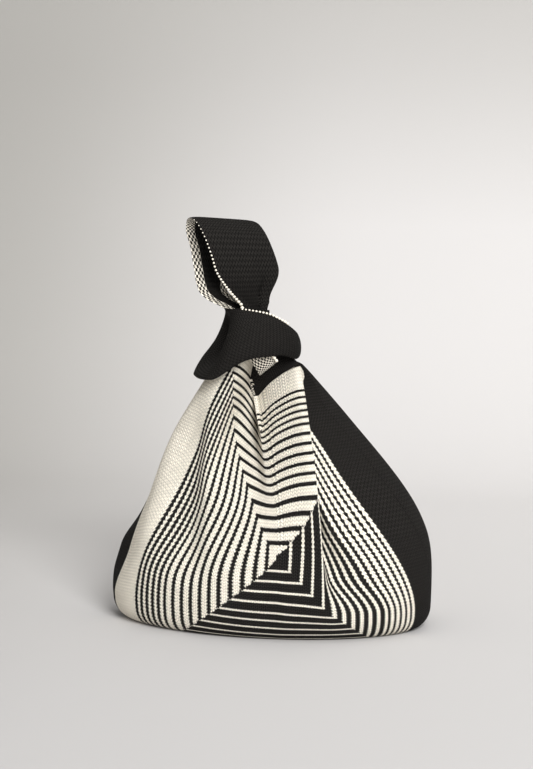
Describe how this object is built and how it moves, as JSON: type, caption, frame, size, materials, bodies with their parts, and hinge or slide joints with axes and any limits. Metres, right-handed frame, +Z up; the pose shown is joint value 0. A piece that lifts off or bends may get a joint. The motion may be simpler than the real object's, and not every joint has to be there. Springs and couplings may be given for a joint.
{
  "type": "japanese knot bag",
  "caption": "Knitted knot bag, closed: a soft oval pouch gathered at the neck, its long strap drawn through a ring made by the short strap to form a carrying loop.",
  "frame": {"origin": "on the floor under the middle of the pouch's base", "axes": "+Z up, -Y out of the front panel, +X to the right as seen from the front"},
  "size_m": [0.2728, 0.1572, 0.34],
  "materials": {
    "jacquard_knit": "two-colour jacquard knit of ivory and black yarn, matt",
    "black_knit": "black double knit, matt",
    "strap_knit": "black double knit with a fine check on the reverse, matt",
    "linking_yarn": "black linking yarn, matt"
  },
  "bodies": {
    "pouch": {"front_panel": "jacquard_knit", "back_panel": "jacquard_knit", "right_gusset": "black_knit", "left_gusset": "black_knit", "base_panel": "black_knit", "short_handle_ring": "strap_knit", "short_handle_front_root": "strap_knit", "short_handle_back_root": "strap_knit", "long_handle_front_root": "strap_knit", "long_handle_back_root": "strap_knit", "front_left_linking_yarn": "linking_yarn", "front_right_linking_yarn": "linking_yarn", "back_right_linking_yarn": "linking_yarn", "back_left_linking_yarn": "linking_yarn", "base_linking_yarn": "linking_yarn"},
    "strap_stem": {"long_handle_front_stem": "strap_knit", "long_handle_back_stem": "strap_knit"},
    "strap_loop": {"long_handle_loop": "strap_knit"}
  },
  "joints": [
    {"name": "long_handle_draw", "type": "slide", "parent": "pouch", "child": "strap_stem", "axis": [0, 0, 1], "range_m": [0, 0.015]},
    {"name": "long_handle_swing", "type": "hinge", "parent": "strap_stem", "child": "strap_loop", "pos_m": [-0.01356, -0.00901, 0.269], "axis": [0.682, 0.7314, 0], "range_deg": [-60, 60], "stiffness_Nm_per_rad": 0.03}
  ]
}
